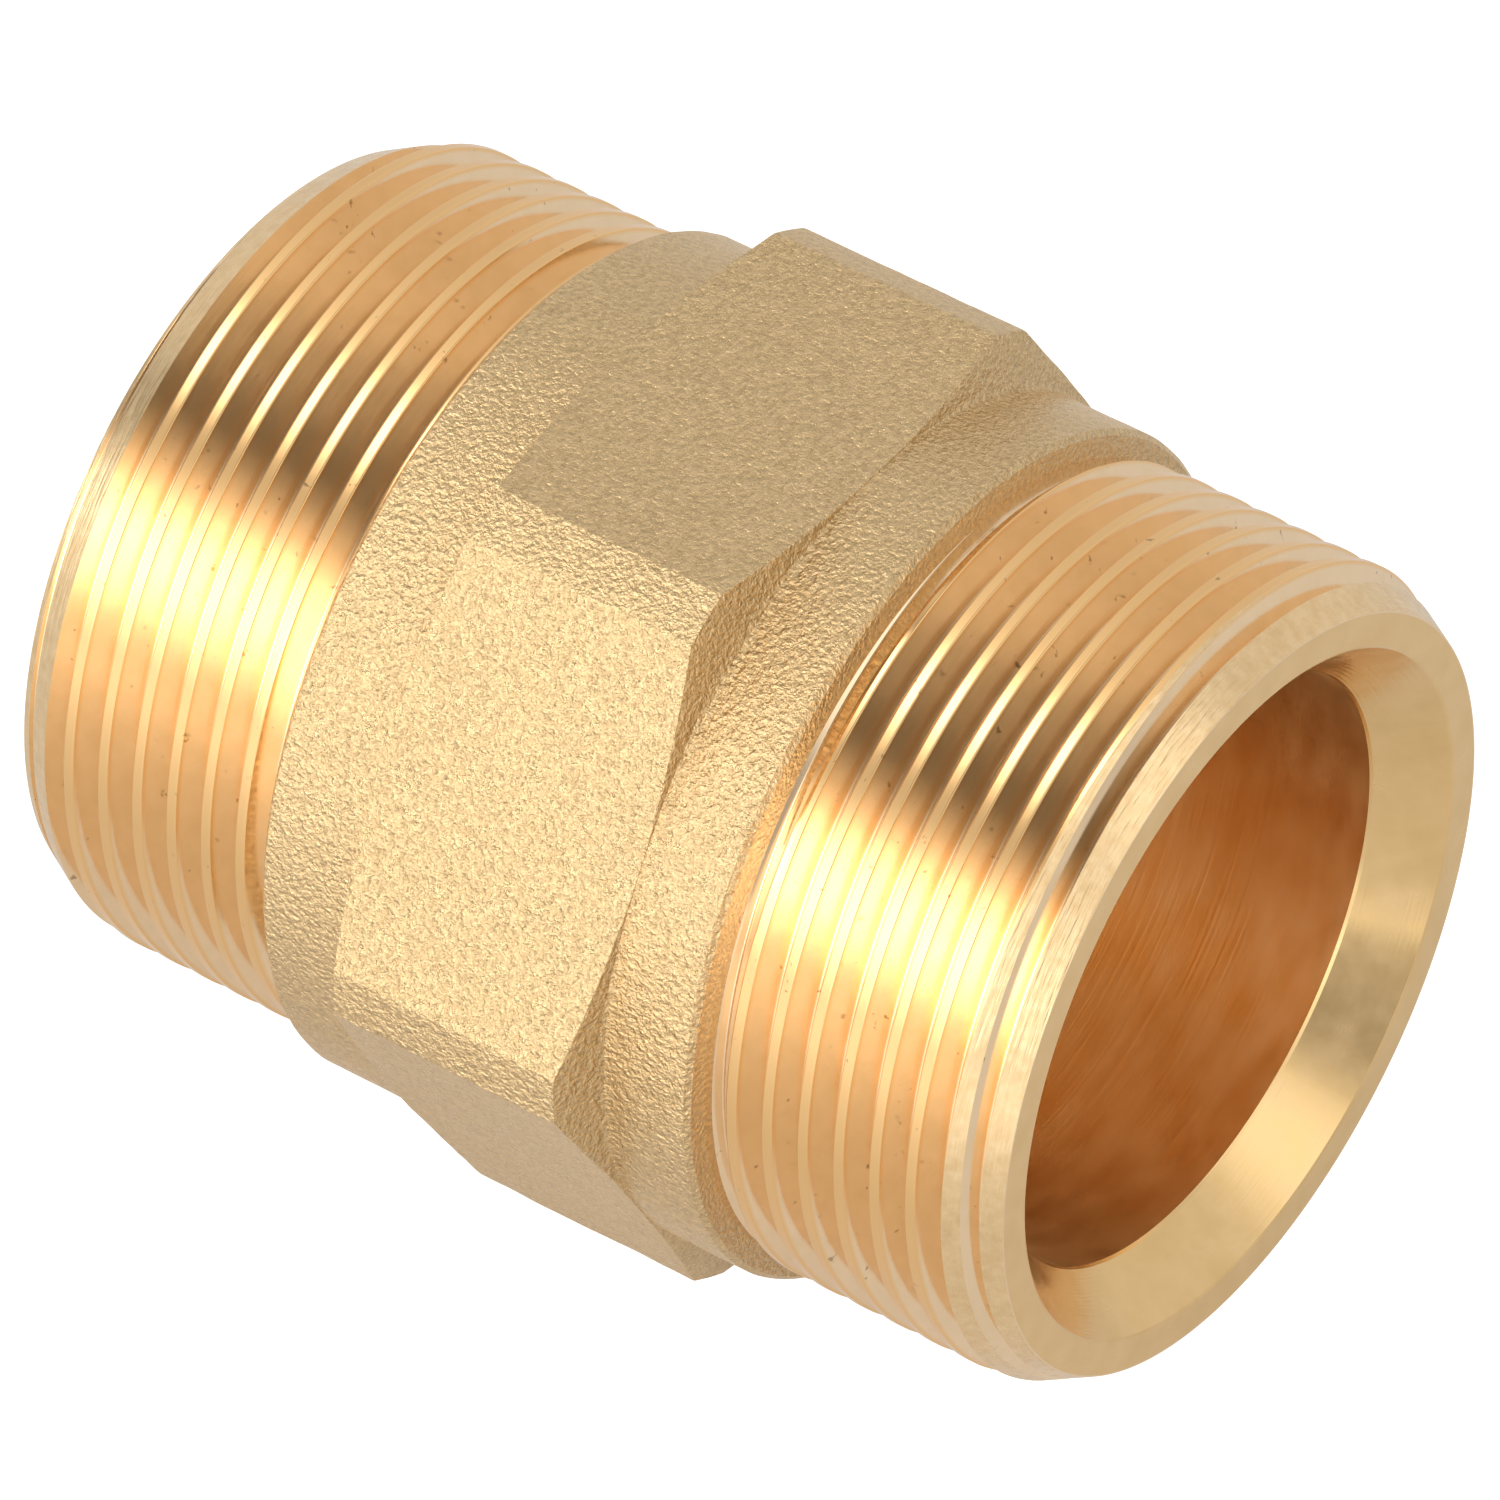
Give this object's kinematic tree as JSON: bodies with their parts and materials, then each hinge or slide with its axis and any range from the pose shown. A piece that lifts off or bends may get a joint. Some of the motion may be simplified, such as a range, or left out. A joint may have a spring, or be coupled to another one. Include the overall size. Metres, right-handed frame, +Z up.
{
  "type": "hex nipple",
  "caption": "Brass pipe nipple with a hexagon between two collars, a male pipe thread on each end and a through bore.",
  "frame": {"origin": "on the bore's axis, half-way between the two end faces", "axes": "+X along the bore towards the end with the turned neck, +Z up out of the upper hexagon flat, +Y through a hexagon corner"},
  "size_m": [0.0646, 0.056, 0.05],
  "materials": {
    "nipple_brass": "machined threads and ends, shot-blasted cast hexagon"
  },
  "bodies": {
    "root": {"nipple_body": "nipple_brass"}
  },
  "joints": []
}
